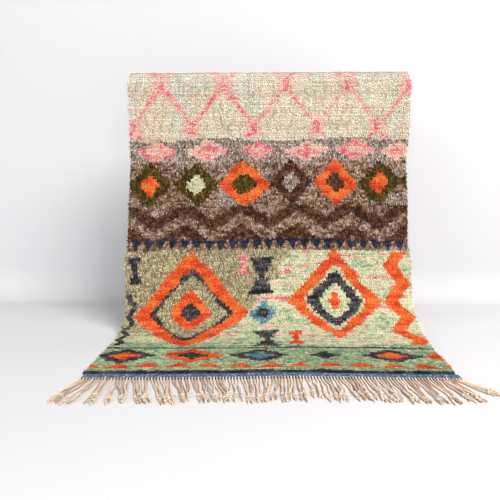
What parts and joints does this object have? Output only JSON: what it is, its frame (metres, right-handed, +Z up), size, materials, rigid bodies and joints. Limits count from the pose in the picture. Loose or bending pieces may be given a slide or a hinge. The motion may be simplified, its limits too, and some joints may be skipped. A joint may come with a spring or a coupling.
{
  "type": "beni mrirt rug",
  "caption": "Hand-knotted wool pile rug, folded over at its top and swept forward on to the floor, with a blue flat-woven heading and a loose warp fringe.",
  "frame": {"origin": "the middle of the inside of the top fold, where whatever holds the rug up would bear", "axes": "+X to the right along the fold, +Z up, and the pile faces -Y where the rug hangs; the rug runs forward along -Y on the floor, at Z -1.784"},
  "size_m": [2.1126, 1.6933, 1.8007],
  "materials": {
    "wool_pile": "matt, dense hand-spun wool pile",
    "warp_ends": "matt, plied ecru cotton"
  },
  "bodies": {
    "root": {"rug_cloth": "wool_pile", "front_fringe": "warp_ends"}
  },
  "joints": []
}
